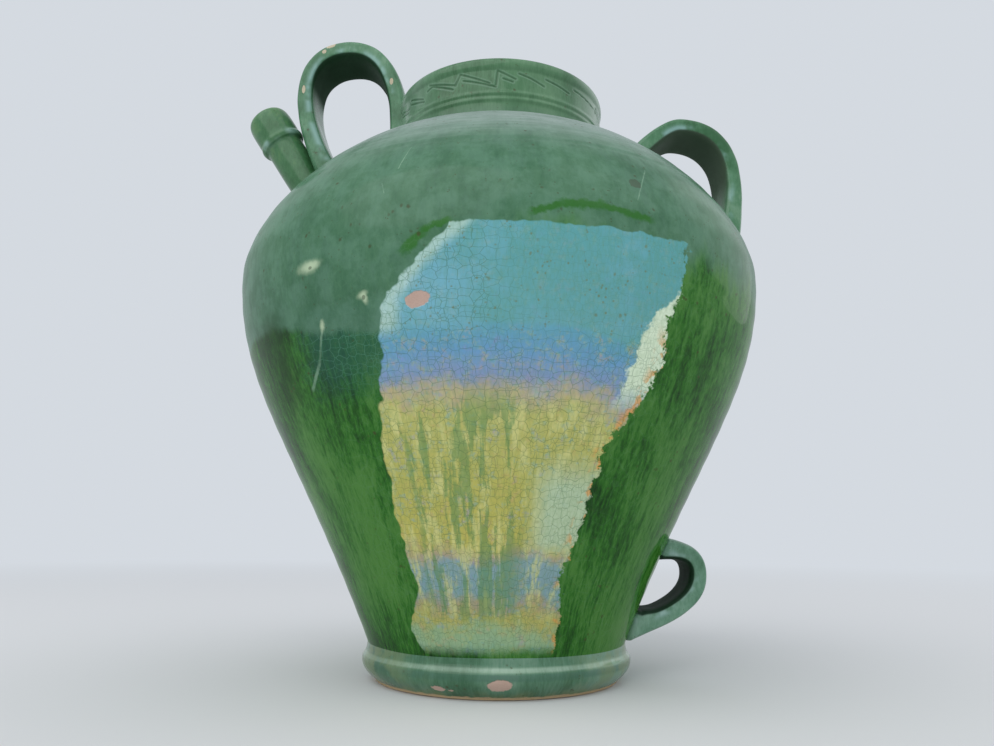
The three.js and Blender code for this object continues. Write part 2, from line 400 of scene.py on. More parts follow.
footForm = {
    "underside": ((0.0861, 0.0002), (0.0879, 0), (0.0898, 0), (0.0907, 0.0004)),
    "curve": (  # radius and height, with the pulls before and after; the last runs out under the body
        ((0.0913, 0.0018), (0, 0), (0.0045, 0.0032)),
        ((footRadius, 0.0155), (0, -0.0062), (0, 0.0032)),
        ((0.0991, 0.0198), (0.0009, -0.0012), (-0.0009, 0.0013)),
        ((0.0975, 0.0242), (0, -0.0012), (0, 0.0016)),
        ((0.0965, 0.0302), (0.0002, -0.0014), (0, 0)),
    ),
    "steps": (14, 7, 7, 5),
    "uneven": (0.0006, 0.05),
    "sides": 224,
}


def throwFoot():
    form = footForm
    inner = form["underside"][0]
    profile = [at(*place) for place in form["underside"]] + [at(*form["curve"][0][0])]
    for here, there, steps in zip(form["curve"], form["curve"][1:], form["steps"]):
        profile += bend(at(*here[0]), at(*here[2]), at(*there[0]), at(*there[1]), steps)[1:]
    profile += [at(inner[0], profile[-1].y), at(*inner)]
    piece = throwOnWheel("footMoulding", profile, form["sides"])
    unevenBy(piece, *form["uneven"])
    return piece


# straps and the spout are sections drawn along a line from one root to the other

def runningLengths(points):
    lengths = [0.0]
    for a, b in zip(points, points[1:]):
        lengths.append(lengths[-1] + (b - a).length)
    return lengths


def outsideJar(p):
    return p.x - (neckForm["radius"] + 0.0001 if p.y > crownHeight else radiusAt(p.y))


def surfaceNormalAngle(p):
    height = min(max(p.y, 0.035), crownHeight - 0.004)
    slope = (radiusAt(height + 0.002) - radiusAt(height - 0.002)) / 0.004
    return math.atan2(-slope, 1.0)


def turnTowards(angle, tangent):
    return (angle - tangent + math.pi) % (2 * math.pi) - math.pi


strapForm = {
    "squareness": 5.5,
    "widthSpread": 0.18,
    "thicknessSpread": 0.62,
    "spreadPower": 4,
    "shift": 0.0014,  # of the middle line, outwards
    "openness": 0.1,  # how much painted shade falls on the inner faces that don't look down
    "corners": 32,
    "stations": 40,
    "rootStations": (0.0, 0.0012, 0.0028, 0.005, 0.0078, 0.0112, 0.0152),
    "rootSink": 0.004,
    "rootDepth": 0.0045,
    "mostStretch": 0.55,
    "blend": 0.017,  # length over which a section turns to lie on the jar
    "lute": 0.0022,  # how far the smeared clay spreads at a root
    "uneven": (0.0008, 0.022),
}


# the strap's line in two bends, with each point's share of the way
def strapLine(strap):
    start, middle, end = strap["line"]
    startPull, (before, after), endPull = strap["pulls"]
    across = at(*strap["across"])
    curves = [
        bend(start, bearing(*startPull), middle, across * -before, 80),
        bend(middle, across * after, end, bearing(*endPull), 80),
    ]
    line, shares = [], []
    for number, points in enumerate(curves):
        lengths = runningLengths(points)
        line += points[number:]
        shares += [(number + length / lengths[-1]) / 2 for length in lengths][number:]
    return line, shares


# stations along the line: middle, bearing of the section's normal, half width and half thickness
def strapStations(strap):
    line, shares = strapLine(strap)
    third, half = len(line) // 3, len(line) // 2
    out = [i for i, p in enumerate(line) if outsideJar(p) > 0 or third < i < half]
    line, shares = line[out[0]:out[-1] + 1], shares[out[0]:out[-1] + 1]
    lengths = runningLengths(line)
    total = lengths[-1]

    def pointAt(place):
        place = min(max(place, 0.0), total)
        return at(*(np.interp(place, lengths, list(row)) for row in zip(*line)))

    firstNormal = math.radians(90) if strap.get("startsUpright") else surfaceNormalAngle(line[0])
    lastNormal = surfaceNormalAngle(line[-1]) + math.pi
    close, count = strap["rootStations"], strap["stations"]
    inner = [close[-1] + (total - 2 * close[-1]) * n / count for n in range(1, count)]
    stations = []
    for place in (*close, *inner, *(total - d for d in reversed(close))):
        ahead = pointAt(place + 0.0015) - pointAt(place - 0.0015)
        tangent = math.atan2(ahead.y, ahead.x)
        nearStart = smooth(1 - place / strap["blend"])
        nearEnd = smooth(1 - (total - place) / strap["blend"])
        nearRoot = max(nearStart, nearEnd)
        turn = turnTowards(firstNormal, tangent) * nearStart + turnTowards(lastNormal, tangent) * nearEnd
        spread = abs(2 * float(np.interp(place, lengths, shares)) - 1) ** strap["spreadPower"]
        lute = strap["lute"] * nearRoot ** 2
        thickness = strap["thickness"] / 2 * (1 + strap["thicknessSpread"] * spread)
        outward = at(-math.sin(tangent), math.cos(tangent)) * strap["shift"] * (1 - nearRoot)
        stations.append({
            "middle": pointAt(place) + outward,
            "normal": tangent + turn,
            "halfWidth": strap["width"] / 2 * (1 + strap["widthSpread"] * spread) + lute,
            "halfThickness": thickness / max(math.cos(turn), strap["mostStretch"]) + lute,
        })
    return stations


def sink(station, distance):
    along = at(math.cos(station["normal"]), math.sin(station["normal"]))
    return {**station, "middle": station["middle"] + along * distance}


# a circle shaped to the section, then extruded, turned and resized from station to station
def drawSection(name, stations, squareness, corners):
    bpy.ops.mesh.primitive_circle_add(vertices=corners, radius=1, fill_type="NGON", location=(0, 0, 0))
    piece = takeNew(name)
    for v in piece.data.vertices:
        v.co *= (abs(v.co.x) ** squareness + abs(v.co.y) ** squareness) ** (-1 / squareness)
    first = stations[0]
    piece.data.transform(
        Matrix.Translation((first["middle"].x, 0, first["middle"].y))
        @ Matrix.Rotation(math.pi / 2 - first["normal"], 4, "Y")
        @ Matrix.Diagonal((first["halfThickness"], first["halfWidth"], 1, 1))
    )
    editAll()
    for here, there in zip(stations, stations[1:]):
        middle = (there["middle"].x, 0, there["middle"].y)
        thicker = there["halfThickness"] / here["halfThickness"]
        wider = there["halfWidth"] / here["halfWidth"]
        extrudeBy(there["middle"] - here["middle"])
        bpy.ops.transform.rotate(
            value=there["normal"] - here["normal"], orient_axis="Y", center_override=middle,
        )
        bpy.ops.transform.resize(value=(thicker, wider, thicker), center_override=middle)
    setMode("OBJECT")
    return piece


def jarForm():
    neck = [at(neckForm["radius"], crownHeight + 0.004), at(neckForm["radius"], rimHeight)]
    profile = [at(0, 0.02), at(0.0975, 0.02), *bodyOutline(60), *neck, at(0, rimHeight)]
    return throwOnWheel("jarForm", profile, 128)


def pullStrap(name, strap, form):
    whole = {**strapForm, **strap}
    stations = strapStations(whole)
    depth, corners = whole["rootSink"], whole["corners"]
    stations = [sink(stations[0], -depth), *stations, sink(stations[-1], depth)]
    piece = drawSection(name, stations, whole["squareness"], corners)
    last = (len(stations) - 1) * corners
    pressInto(piece, form, "root", [*range(corners), *range(last, last + corners)], whole["rootDepth"])
    wall = whole.get("neckWall", 0)
    for v in piece.data.vertices:
        if v.co.z < rimHeight - 0.001 and v.co.x < wall and math.hypot(v.co.x, v.co.y) < wall:
            v.co.x = math.sqrt(max(wall ** 2 - v.co.y ** 2, 0))
    mendMesh(piece)
    addModifier(piece, "SUBSURF", levels=2, render_levels=2)
    markStrap(piece, stations, whole["openness"])
    piece.rotation_euler.z = math.radians(whole["azimuth"])
    settle(piece)
    unevenBy(piece, *whole["uneven"])
    return piece


# where the painted highlight runs along the side faces of a strap
strapMarks = {"edgePlace": 0.45, "edgeWidth": 0.34}  # from the middle to the inner face


# marks the faces that look inwards under the arch, which get painted shade, and a line along the side faces
# near the inner edge, which gets a painted highlight
def markStrap(piece, stations, openness):
    middles = np.array([station["middle"] for station in stations])
    under, edge = [], []
    for v in piece.data.vertices:
        station = stations[int(np.argmin(np.hypot(middles[:, 0] - v.co.x, middles[:, 1] - v.co.z)))]
        inward = Vector((math.sin(station["normal"]), 0, -math.cos(station["normal"])))
        offset = v.co - Vector((station["middle"].x, v.co.y, station["middle"].y))
        place = offset.dot(inward) / station["halfThickness"]
        under.append(v.normal.dot(inward) * (openness + (1 - openness) * smooth(0.5 - v.normal.z)))
        sideways = smooth(abs(v.normal.y) * 2 - 0.6)
        edge.append(bell(place - strapMarks["edgePlace"], strapMarks["edgeWidth"]) * sideways)
    markPoints(piece, "under", under)
    markPoints(piece, "edge", edge)


def onShoulder(out, depth):
    radius = neckForm["radius"] + out
    return at(radius, shoulderAt(radius) - depth)


def onSide(height, depth):
    return at(radiusAt(height) - depth, height)


# "line" holds the start, the furthest point and the end of the middle line
neckStrap = {
    "azimuth": 177.5,
    "width": 0.0435,
    "thickness": 0.0155,
    "line": (
        at(neckForm["radius"] + 0.0015, crownHeight - 0.005),
        at(neckForm["radius"] + 0.045, rimHeight + 0.05295),
        onShoulder(0.0475, 0.008),
    ),
    "pulls": ((92.2, 0.099), (0.015, 0.046), (57.5, 0.088)),
    "across": (1, 0),
    "neckWall": 0.0805,
    "startsUpright": True,
}

shoulderRoot = onSide(0.336, 0.003)
shoulderStrap = {
    "azimuth": 2.5,
    "width": 0.0445,
    "thickness": 0.015,
    "line": (onShoulder(0.016, 0.009), at(shoulderRoot.x - 0.033, crownHeight + 0.0325), shoulderRoot),
    "pulls": ((57, 0.022), (0.013, 0.049), (74, 0.058)),
    "across": (1, 0),
    "openness": 0.35,
}

tippingStrap = {
    "azimuth": 1.5,
    "width": 0.0445,
    "thickness": 0.0142,
    "line": (onSide(0.0945, 0.013), at(radiusAt(0.0945) + 0.0235, 0.078), onSide(0.0375, 0.003)),
    "pulls": ((9, 0.012), (0.019, 0.014), (19, 0.045)),
    "across": (0, -1),
    "shift": 0.0016,
    "openness": 1.0,
    "stations": 30,
    "blend": 0.026,
    "thicknessSpread": 0.25,
    "lute": 0.0012,
}


# the pouring spout

spoutForm = {
    "azimuth": 178,
    "tilt": 33,  # from upright
    "rootOut": 0.0667,  # from the neck's side
    "tube": 0.0161,
    "bore": 0.0095,
    "flare": (0.0045, 0.02),  # width and length
    "lute": 0.0035,
    "rows": (  # place along the tube and radius: up the outside, over the lip and down the bore
        (0.03, 0.0161), (0.045, 0.0161), (0.0621, 0.0161), (0.0655, 0.0161), (0.0663, 0.0183),
        (0.0673, 0.0187), (0.0691, 0.0194), (0.0709, 0.0193), (0.0727, 0.0185), (0.0753, 0.0187),
        (0.0868, 0.0186), (0.093, 0.0182), (0.0964, 0.0171), (0.0986, 0.0152), (0.0997, 0.0129),
        (0.099, 0.0107), (0.0968, 0.0096), (0.0798, 0.0095), (0.03, 0.0095), (0.004, 0.0095),
        (-0.002, 0.0095),
    ),
    "ring": (0.0692, 0.0032),  # place and width of the painted highlight along its edge
    "sinks": (0.0006, 0.004, 0.004),  # of the smeared clay, the tube's end and the bore's end
    "corners": 32,
    "uneven": (0.0005, 0.02),
}


def drawSpout(form):
    spout, corners = spoutForm, spoutForm["corners"]
    root = onShoulder(spout["rootOut"], 0)
    axisAngle = math.radians(90 - spout["tilt"])
    along = at(math.cos(axisAngle), math.sin(axisAngle))
    lean = turnTowards(surfaceNormalAngle(root), axisAngle)
    flare, flareLength = spout["flare"]
    rows = []
    for share in (step / 8 for step in range(9)):
        spread = flare * (1 - smooth(share)) + spout["lute"] * (1 - share) ** 4
        rows.append((flareLength * share, spout["tube"] + spread))
    stations = [{
        "middle": root + along * place, "normal": axisAngle + lean * smooth(1 - place / flareLength),
        "halfWidth": radius, "halfThickness": radius,
    } for place, radius in (*rows, *spout["rows"])]
    stations = [sink(stations[0], -0.003), *stations]
    piece = drawSection("pouringSpout", stations, 2, corners)
    last = (len(stations) - 1) * corners
    for name, start, depth in zip(("lute", "root", "boreRoot"), (corners, 0, last), spout["sinks"]):
        pressInto(piece, form, name, range(start, start + corners), depth)
    joinEnds(piece, corners, last)
    mendMesh(piece)
    addModifier(piece, "SUBSURF", levels=2, render_levels=2)
    root3d, along3d = Vector((root.x, 0, root.y)), Vector((along.x, 0, along.y))
    middle, width = spout["ring"]
    places = [(v.co - root3d).dot(along3d) for v in piece.data.vertices]
    # painted highlight round the ring
    markPoints(piece, "edge", [bell(place - middle, width) for place in places])
    piece.rotation_euler.z = math.radians(spout["azimuth"])
    settle(piece)
    unevenBy(piece, *spout["uneven"])
    return piece


# opens the two end faces and bridges them, so that the bore stays clear
def joinEnds(piece, corners, last):
    makeActive(piece)
    setMode("EDIT")
    bpy.ops.mesh.select_all(action="DESELECT")
    setMode("OBJECT")
    for face in piece.data.polygons:
        face.select = len(face.vertices) == corners
    setMode("EDIT")
    bpy.ops.mesh.select_mode(type="FACE")
    bpy.ops.mesh.delete(type="ONLY_FACE")
    bpy.ops.mesh.select_mode(type="EDGE")
    bpy.ops.mesh.select_all(action="DESELECT")
    setMode("OBJECT")
    for edge in piece.data.edges:
        a, b = edge.vertices
        edge.select = (a < corners and b < corners) or (a >= last and b >= last)
    setMode("EDIT")
    bpy.ops.mesh.bridge_edge_loops()
    setMode("OBJECT")


def boreBody(piece):
    spout = spoutForm
    bpy.ops.mesh.primitive_cylinder_add(vertices=48, radius=spout["bore"], depth=0.06)
    drill = takeNew("drill")
    drill.rotation_euler = (0, math.radians(spout["tilt"]), math.radians(spout["azimuth"]))
    root = onShoulder(spout["rootOut"], 0)
    drill.location = Matrix.Rotation(math.radians(spout["azimuth"]), 3, "Z") @ Vector((root.x, 0, root.y))
    settle(drill)
    addModifier(piece, "BOOLEAN", operation="DIFFERENCE", solver="EXACT", object=drill)
    bpy.data.objects.remove(drill)


print("modelling the thrown pieces")
body = throwBody()
boreBody(body)
neck = throwNeck()
foot = throwFoot()

print("pulling the handles and the spout")
form = jarForm()
neckHandle = pullStrap("neckHandle", neckStrap, form)
shoulderHandle = pullStrap("shoulderHandle", shoulderStrap, form)
tippingHandle = pullStrap("tippingHandle", tippingStrap, form)
pouringSpout = drawSpout(form)
bpy.data.objects.remove(form)

for piece in (body, neck, foot, pouringSpout, neckHandle, shoulderHandle, tippingHandle):
    finishShape(piece)
    print(piece.name, len(piece.data.polygons), "faces")

innerWall = {"body": 0.005, "bodyFrom": 0.01, "neck": 0.0007}  # how far inside the outline it starts


# marks which points belong to the inner wall
def markInside(piece):
    values = []
    for v in piece.data.vertices:
        radius = math.hypot(v.co.x, v.co.y)
        if v.co.z > crownHeight:
            inside = radius < neckForm["mouth"] + innerWall["neck"]
        else:
            wall = radiusAt(max(v.co.z, bodyForm["hollowFrom"])) - innerWall["body"]
            inside = radius < wall and v.co.z > innerWall["bodyFrom"]
        values.append(float(inside))
    markPoints(piece, "inside", values)


markInside(body)
markInside(neck)


# material maths: a socket on which sums can be written

class Wire:
    def __init__(self, finish, socket):
        self.finish, self.socket = finish, socket

    def maths(self, operation, *values):
        return self.finish.node("Math", {"operation": operation}, dict(enumerate(values)))

    def __add__(self, other): return self.maths("ADD", self, other)
    def __radd__(self, other): return self.maths("ADD", other, self)
    def __sub__(self, other): return self.maths("SUBTRACT", self, other)
    def __rsub__(self, other): return self.maths("SUBTRACT", other, self)
    def __mul__(self, other): return self.maths("MULTIPLY", self, other)
    def __rmul__(self, other): return self.maths("MULTIPLY", other, self)
    def __truediv__(self, other): return self.maths("DIVIDE", self, other)
    def __rtruediv__(self, other): return self.maths("DIVIDE", other, self)
    def __pow__(self, other): return self.maths("POWER", self, other)
    def __abs__(self): return self.maths("ABSOLUTE", self)
    def atLeast(self, other): return self.maths("MAXIMUM", self, other)

    # 0 below low, 1 above high, and an easy slope between; low may be the larger
    def rise(self, low, high):
        limits = {0: self, 1: min(low, high), 2: max(low, high)}
        share = self.finish.node("MapRange", {"interpolation_type": "SMOOTHSTEP"}, limits)
        return 1 - share if low > high else share


meanRadius = 0.18


class Finish:
    def __init__(self, name):
        self.material = bpy.data.materials.new(name)
        self.material.use_nodes = True
        self.tree = self.material.node_tree
        self.tree.nodes.clear()
        self.place = self.node("TexCoord", output="Object")
        x, y, z = self.x, self.y, self.z = self.parts(self.place)
        self.radius = (x * x + y * y) ** 0.5
        self.degrees = x.maths("ARCTAN2", x, 0 - y) * math.degrees(1)  # from the front, positive to the right
        roundness = meanRadius / self.radius
        self.wrapped = self.point(x * roundness, y * roundness, z)  # as if the jar were a cylinder

    def node(self, kind, settings=None, sockets=None, output=0):
        made = self.tree.nodes.new("ShaderNode" + kind)
        for name, value in (settings or {}).items():
            if name == "stops":
                self.setStops(made.color_ramp, value)
            else:
                setattr(made, name, value)
        for name, value in (sockets or {}).items():
            if isinstance(value, Wire):
                self.tree.links.new(value.socket, made.inputs[name])
            else:
                made.inputs[name].default_value = value
        return Wire(self, made.outputs[output]) if made.outputs else made

    def setStops(self, ramp, stops):
        while len(ramp.elements) < len(stops):
            ramp.elements.new(0.5)
        for element, (place, shade) in zip(ramp.elements, stops):
            element.position = place
            element.color = colour(shade)

    def parts(self, vector):
        node = self.node("SeparateXYZ", sockets={0: vector}).socket.node
        return [Wire(self, output) for output in node.outputs]

    def point(self, x, y, z):
        return self.node("CombineXYZ", sockets={0: x, 1: y, 2: z})

    def attribute(self, name):
        return self.node("Attribute", {"attribute_name": name}, output="Fac")

    # noise whose lumps are about this size in metres; stretch lengthens them along an axis
    def noise(self, size, detail=2.0, roughness=0.5, stretch=(1, 1, 1), shift=(0, 0, 0), on=None):
        scale = tuple(1 / (size * s) for s in stretch)
        vector = self.node("Mapping", sockets={"Vector": on or self.place, "Scale": scale, "Location": shift})
        sockets = {"Vector": vector, "Scale": 1.0, "Detail": detail, "Roughness": roughness}
        return self.node("TexNoise", sockets=sockets)

    # the same noise, as a drift to either side
    def sway(self, *grain, **settings):
        return self.noise(*grain, **settings) - 0.5

    def vector(self, operation, value, other):
        return self.node("VectorMath", {"operation": operation}, {0: value, **other})

    # moves a position about by up to half this amount
    def stir(self, size, amount, on=None):
        vector = self.vector("SCALE", self.place, {"Scale": 1 / size})
        noise = self.node("TexNoise", sockets={"Vector": vector, "Scale": 1.0, "Detail": 1.0}, output=1)
        centred = self.vector("SUBTRACT", noise, {1: (0.5, 0.5, 0.5)})
        return self.vector("ADD", on or self.place, {1: self.vector("SCALE", centred, {"Scale": amount})})

    # distance to the nearest edge of cells of this size, in shares of a cell
    def cellEdges(self, size, on, randomness=1.0, flat=False):
        settings = {"feature": "DISTANCE_TO_EDGE", "voronoi_dimensions": "2D" if flat else "3D"}
        return self.node("TexVoronoi", settings, {"Vector": on, "Scale": 1 / size, "Randomness": randomness})

    def cellDots(self, size, on):
        return self.node("TexVoronoi", {"feature": "F1"}, {"Vector": on, "Scale": 1 / size})

    def blend(self, mask, low, high):
        return self.node("Mix", {"data_type": "RGBA"}, {0: mask, 6: colour(low), 7: colour(high)}, output=2)

    def ramp(self, value, stops):
        return self.node("ValToRGB", {"stops": stops}, {0: value})

    # reads a list of places and values, joined by straight lines
    def follow(self, value, points):
        first, last = points[0][0], points[-1][0]
        low, high = min(p[1] for p in points), max(p[1] for p in points)
        stops = [
            ((place - first) / (last - first), ((reading - low) / (high - low),) * 3)
            for place, reading in points
        ]
        return self.ramp((value - first) / (last - first), stops) * (high - low) + low

    # a spot round a centre, with a broken edge; tilt turns it as seen from the front
    def spot(self, centre, radii, tilt=0.0, rough=0.25, soft=0.16):
        scaled = self.node("Mapping", {"vector_type": "TEXTURE"}, {
            "Vector": self.place, "Location": centre, "Rotation": (0, math.radians(-tilt), 0), "Scale": radii,
        })
        distance = self.node("VectorMath", {"operation": "LENGTH"}, {0: scaled}, output=1)
        ragged = distance + self.sway(min(radii) * 0.9, 3.0, 0.6) * (2 * rough)
        return ragged.rise(1.06, 1.06 - soft)

    # a stroke from one point to another on the front of the jar, given as x and height
    def stroke(self, start, end, width, rough=0.0016):
        length = math.dist(start, end)
        along = ((end[0] - start[0]) / length, (end[1] - start[1]) / length)
        dx, dz = self.x - start[0], self.z - start[1]
        ragged = self.sway(max(width * 1.5, 0.004), 3.0, 0.6) * rough
        run = dx * along[0] + dz * along[1] + ragged
        across = abs(dz * along[0] - dx * along[1] + ragged)
        inRange = run.rise(-width, width) * run.rise(length + width, length - width)
        return across.rise(width, width * 0.3) * inRange * self.y.rise(0.02, -0.02)

    # a gloss coat over the colour, mixed with the same colour without gloss
    def surface(self, base, rough, metal, height, sheen, dull):
        bump = self.node("Bump", sockets={"Strength": 1.0, "Distance": 1.0, "Height": height})
        gloss = self.node("BsdfPrincipled", sockets={
            "Base Color": base, "Roughness": rough, "Metallic": metal, "IOR": sheen, "Normal": bump,
        })
        plain = self.node("BsdfPrincipled", sockets={
            "Base Color": base, "Roughness": 0.9, "Specular IOR Level": 0.0, "Normal": bump,
        })
        self.show(dull, gloss, plain)
        return self.material

    def show(self, share, first, second):
        mixed = self.node("MixShader", sockets={0: share, 1: first, 2: second})
        self.node("OutputMaterial", sockets={"Surface": mixed})


def colour(value):
    return value if isinstance(value, Wire) else (*value, 1)


# the glazes

class Coat:
    def __init__(self, finish, base, rough, dull):
        self.finish, self.base, self.rough, self.dull = finish, base, rough, dull
        self.metal = self.height = 0.0

    # lays a colour over the coat where the mask is 1
    def lay(self, mask, shade, rough=None, metal=None, lift=0.0):
        self.base = self.finish.blend(mask, self.base, shade)
        if rough is not None:
            self.rough = self.rough * (1 - mask) + mask * rough
        if metal is not None:
            self.metal = mask * metal
        elif isinstance(self.metal, Wire) and rough is not None:
            self.metal = self.metal * (1 - mask)
        if lift:
            self.height = self.height + mask * lift

    def fire(self, sheen):
        return self.finish.surface(self.base, self.rough, self.metal, self.height, sheen, self.dull)


clay = {
    "pale": (0.62, 0.46, 0.39),
    "deep": (0.46, 0.3, 0.23),
    "grain": 0.0012,
    "rough": 0.85,
    "sunk": 0.0004,
    "ground": ((0.44, 0.32, 0.18), (0.62, 0.47, 0.28)),  # where the foot stands
}
wornClay = {**clay, "pale": (0.68, 0.6, 0.45), "deep": (0.42, 0.36, 0.23)}

# noises are given as size, detail and roughness
bodyGlaze = {
    "pooled": (0.004, 0.042, 0.003),
    "full": (0.026, 0.146, 0.013),
    "thin": (0.074, 0.225, 0.04),
    "turned": True,
    "cloud": (0.06, 3.0, 0.55),
    "runs": (0.006, 4.0, 0.62),
    "runStretch": 5,
    "mottle": (0.0026, 3.0, 0.65),
    "weights": (0.44, 0.28, 0.28),  # of clouds, runs and mottling
    "contrast": 0.13,
    "crackle": (0.12, 0.27, 0.13),
    "crackleShow": 0.3,
    "cell": 0.0045,
    "speck": (0.05, 0.052, 0.014),
    "speckShow": 0.7,
    "swells": ((0.045, 0.0003), (0.009, 0.00005), (0.0022, 0.000008)),  # size and height
    "roughness": 0.07,
    "sheen": 1.42,
    "dull": 0.46,
}

# painted sky reflection: a greyer tone over the shoulder, paler and duller on the crown round the neck
shoulderReflection = {
    "low": (0.052, 0.148, 0.08),
    "high": (0.108, 0.232, 0.154),
    "start": [  # degrees from the front, and height
        (-180, 0.262), (-100, 0.262), (-80, 0.236), (-50, 0.231), (-38, 0.2255), (-20, 0.2195), (-8, 0.224),
        (0, 0.262), (180, 0.262),
    ],
    "fade": (0.026, 0.006),  # beyond and left of the patch
    "fadeAngles": (-100, -85, -10, 0),
    "drips": (0.02, 3.0, 0.62),
    "clouds": (0.017, 4.0, 0.64),
    "show": 0.88,
    "crownLow": (0.205, 0.28, 0.245),
    "crownHigh": (0.35, 0.415, 0.39),
    "crownHeights": (0.338, 0.397),
    "crownShow": 0.94,
    "rings": (0.0022, 2.0, 0.6),
    "ringDepth": 0.00006,
}

# the patch on the front: a painted reflection of sky and surroundings, tinted as an iridescent lustre and
# half metallic in the shader; sides are degrees from the front
lustreReflection = {
    "top": 0.284,
    "bottom": 0.027,
    "left": [  # height, and degrees from the front
        (0.03, -29), (0.043, -33), (0.073, -26), (0.095, -28), (0.168, -26.3), (0.197, -23.7),
        (0.241, -20.5), (0.258, -16), (0.272, -11.5), (0.285, -7),
    ],
    "right": [
        (0.03, 22.5), (0.052, 21.5), (0.08, 20.3), (0.121, 23), (0.157, 24.3), (0.19, 31),
        (0.212, 33.5), (0.235, 32.5), (0.262, 35), (0.285, 35.5),
    ],
    "metal": 0.5,
    "rough": 0.1,
    "bands": [  # height and colour
        (0.03, (0.34, 0.52, 0.34)),
        (0.043, (0.38, 0.53, 0.3)),
        (0.052, (0.52, 0.48, 0.14)),
        (0.062, (0.44, 0.38, 0.26)),
        (0.07, (0.26, 0.4, 0.44)),
        (0.086, (0.28, 0.42, 0.46)),
        (0.094, (0.5, 0.4, 0.28)),
        (0.102, (0.6, 0.54, 0.13)),
        (0.14, (0.56, 0.53, 0.14)),
        (0.178, (0.56, 0.55, 0.18)),
        (0.188, (0.54, 0.46, 0.3)),
        (0.197, (0.27, 0.36, 0.58)),
        (0.212, (0.17, 0.38, 0.62)),
        (0.2245, (0.14, 0.4, 0.52)),
        (0.2275, (0.15, 0.42, 0.44)),
        (0.285, (0.13, 0.4, 0.41)),
    ],
    "hues": [
        (0.34, (0.34, 0.32, 0.66)), (0.44, (0.16, 0.48, 0.5)), (0.52, (0.5, 0.54, 0.16)),
        (0.6, (0.66, 0.42, 0.18)), (0.7, (0.48, 0.32, 0.46)),
    ],
    # pale painted highlights within the reflection
    "cream": (0.78, 0.91, 0.68),
    "milk": (0.54, 0.7, 0.5),
    "lemon": (0.76, 0.74, 0.3),
    "ember": (0.85, 0.38, 0.1),
    "paleSky": (0.21, 0.49, 0.62),
    "streak": (0.13, 0.3, 0.1),
    "crackle": (0.055, 0.16, 0.065),
    "speck": (0.17, 0.2, 0.07),
    "cells": (0.0056, 0.0038),
    "metresPerDegree": 0.0033,
    # heights between which a part of the patch comes or goes
    "driftTop": (0.226, 0.19),
    "lowTop": (0.228, 0.218),
    "goldFoot": (0.045, 0.06),
    "goldTop": (0.2, 0.17),
    "creamHighlightFoot": (0.176, 0.198),
    "creamHighlightTop": (0.264, 0.248),
    "milkFoot": (0.086, 0.104),
    "milkTop": (0.158, 0.13),
    "edgeFoot": (0.218, 0.228),
    "emberTop": (0.235, 0.215),
    "upper": (0.2, 0.24),
}

innerGlaze = {"thin": (0.36, 0.2, 0.075), "full": (0.2, 0.105, 0.035), "rough": 0.2}


# how thick the green glaze lies: 0 in pools and 1 where it has run thin
def glazeRun(finish, look):
    on = finish.wrapped if look["turned"] else finish.place
    cloud = finish.noise(*look["cloud"], stretch=(1, 1, 1.6))
    runs = finish.noise(*look["runs"], stretch=(1, 1, look["runStretch"]), on=on)
    mottle = finish.noise(*look["mottle"], stretch=(1, 1, 2.2), on=on)
    first, second, third = look["weights"]
    thickness = cloud * first + runs * second + mottle * third
    return thickness.rise(0.5 - look["contrast"], 0.5 + look["contrast"])


def brownSpecks(finish, size, shift=7, rarity=0.6):
    cells = finish.cellDots(size, finish.stir(size, size * 0.5))
    pick = finish.noise(size * 2.3, 1.0, shift=(shift, 3, 1)).rise(rarity, rarity + 0.08)
    return cells.rise(0.3, 0.1) * pick


def startCoat(finish, look):
    run = glazeRun(finish, look)
    base = finish.ramp(run, [(0.0, look["pooled"]), (0.5, look["full"]), (1.0, look["thin"])])
    coat = Coat(finish, base, look["roughness"] + finish.sway(0.02) * 0.05, look["dull"])
    (broad, high), *small = look["swells"]
    coat.height = finish.noise(broad, 1.0) * high
    for size, height in small:
        coat.height = coat.height + finish.noise(size, 2.0) * height
    return coat, run


def layCrackle(coat, look, run, where=1.0):
    finish, cell = coat.finish, look["cell"]
    bent = finish.stir(cell * 1.5, cell * 0.5)
    coarse = finish.cellEdges(cell * 1.9, bent).rise(0.036, 0.008)
    fine = finish.cellEdges(cell, bent).rise(0.06, 0.012)
    lines = coarse.atLeast(fine * finish.noise(0.03, 2.0).rise(0.38, 0.6) * 0.8)
    coat.lay(lines * look["crackleShow"] * (0.35 + run * 0.65) * where, look["crackle"], lift=-0.00002)


def laySpecks(coat, look):
    specks = brownSpecks(coat.finish, 0.0055).atLeast(brownSpecks(coat.finish, 0.0024, 5) * 0.8)
    coat.lay(specks * look["speckShow"], look["speck"], lift=-0.00003)
    return specks


def layBareClay(coat, spots, below=None, body=clay):
    finish = coat.finish
    grain = finish.noise(body["grain"], 4.0, 0.7)
    shade = finish.blend(grain * 0.5 + finish.noise(0.012, 3.0, 0.6) * 0.5, body["deep"], body["pale"])
    for spot in spots:
        bare = finish.spot(*spot, 0.3)
        coat.lay(bare, shade, body["rough"], lift=-body["sunk"])
        coat.height = coat.height + bare * grain * 0.0002
    if below:
        edge = (finish.z + finish.sway(0.006, 3.0, 0.6) * below).rise(below * 1.15, below * 0.75)
        coat.lay(edge, finish.blend(grain, *body["ground"]), 0.8)


def layInnerGlaze(coat, run):
    shade = coat.finish.blend(run, innerGlaze["full"], innerGlaze["thin"])
    coat.lay(coat.finish.attribute("inside").rise(0.3, 0.7), shade, innerGlaze["rough"])


